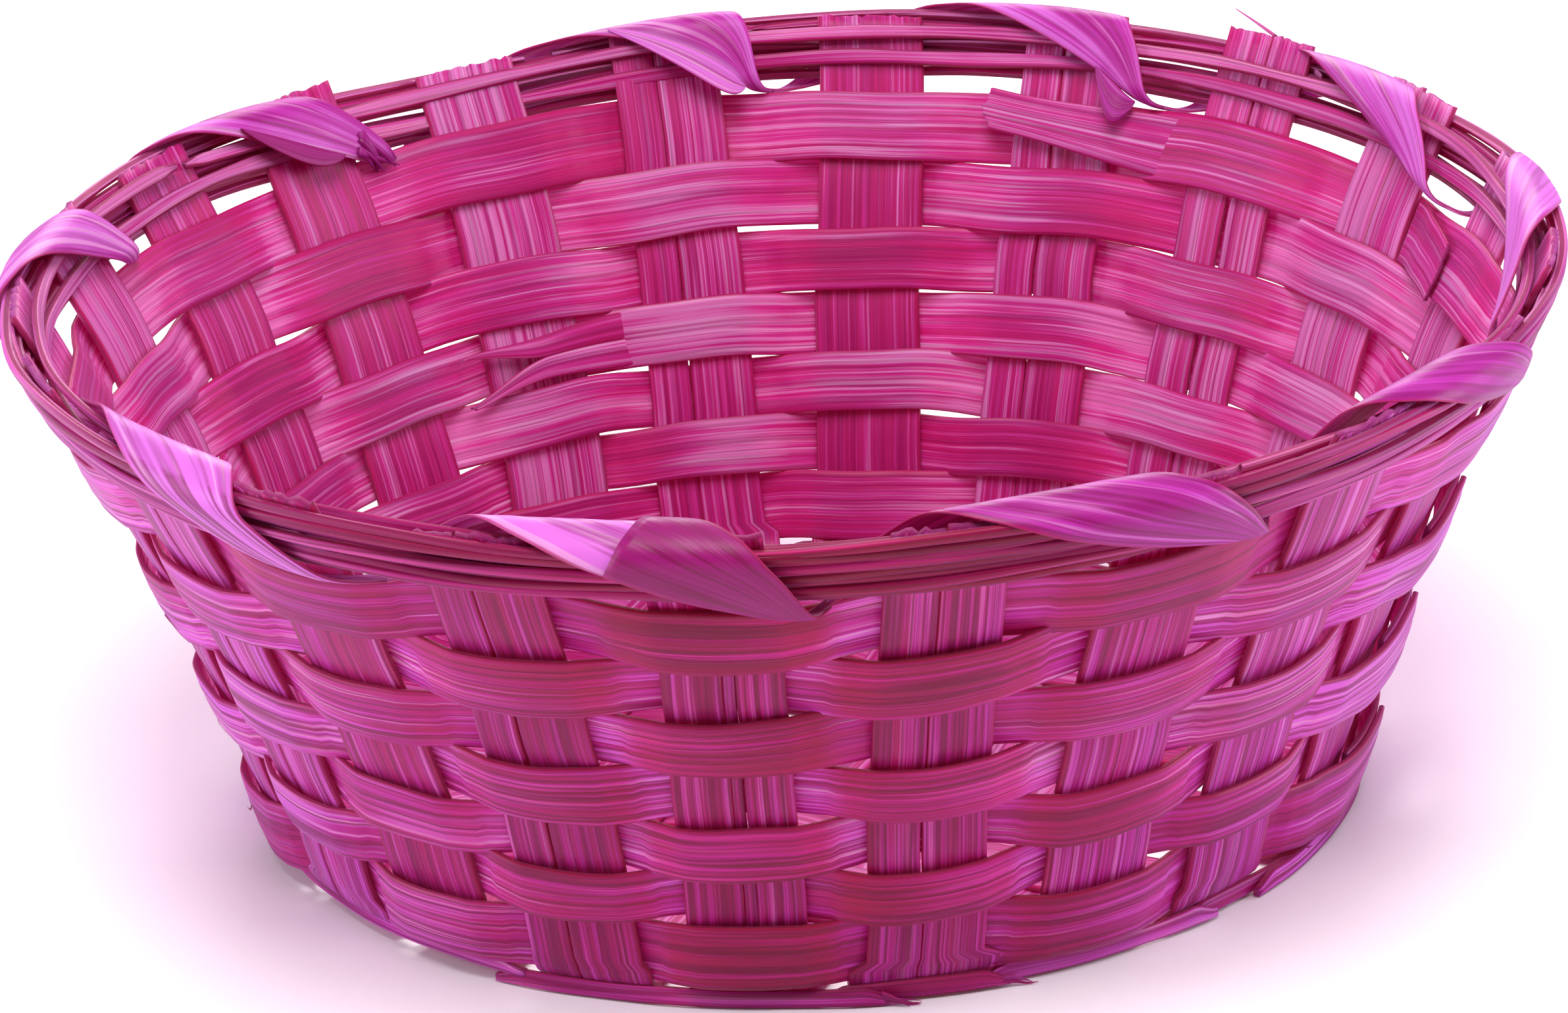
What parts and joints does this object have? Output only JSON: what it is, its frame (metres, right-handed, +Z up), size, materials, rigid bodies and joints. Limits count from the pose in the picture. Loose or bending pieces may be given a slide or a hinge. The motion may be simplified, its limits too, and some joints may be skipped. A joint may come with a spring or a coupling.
{
  "type": "easter basket",
  "caption": "Low round flaring basket plaited from flat dyed bamboo strips, with a lashed splint rim and a foot hoop, open at the top and without a handle.",
  "frame": {"origin": "middle of the footprint, on the surface that the basket stands on", "axes": "+Z up through the open mouth; X and Y are level, and -Y faces the usual viewer"},
  "size_m": [0.2176, 0.2175, 0.0809],
  "materials": {
    "stake": "dyed split bamboo, satin",
    "weaver": "dyed split bamboo, satin",
    "splint": "dyed split bamboo, pale streaks",
    "lashing": "thin dyed bamboo ribbon, slight sheen",
    "hoop": "dyed split bamboo, satin"
  },
  "bodies": {
    "root": {"long_stake_1": "stake", "long_stake_2": "stake", "long_stake_3": "stake", "long_stake_4": "stake", "long_stake_5": "stake", "cross_stake_1": "stake", "cross_stake_2": "stake", "cross_stake_3": "stake", "cross_stake_4": "stake", "cross_stake_5": "stake", "half_stake": "stake", "weaver_row_1": "weaver", "weaver_row_2": "weaver", "weaver_row_3": "weaver", "weaver_row_4": "weaver", "weaver_row_5": "weaver", "weaver_row_6": "weaver", "weaver_row_7": "weaver", "inner_rim_splint_lower": "splint", "inner_rim_splint_upper": "splint", "outer_rim_splint_1": "splint", "outer_rim_splint_2": "splint", "outer_rim_splint_3": "splint", "outer_rim_splint_4": "splint", "rim_lashing": "lashing", "foot_hoop": "hoop"}
  },
  "joints": []
}
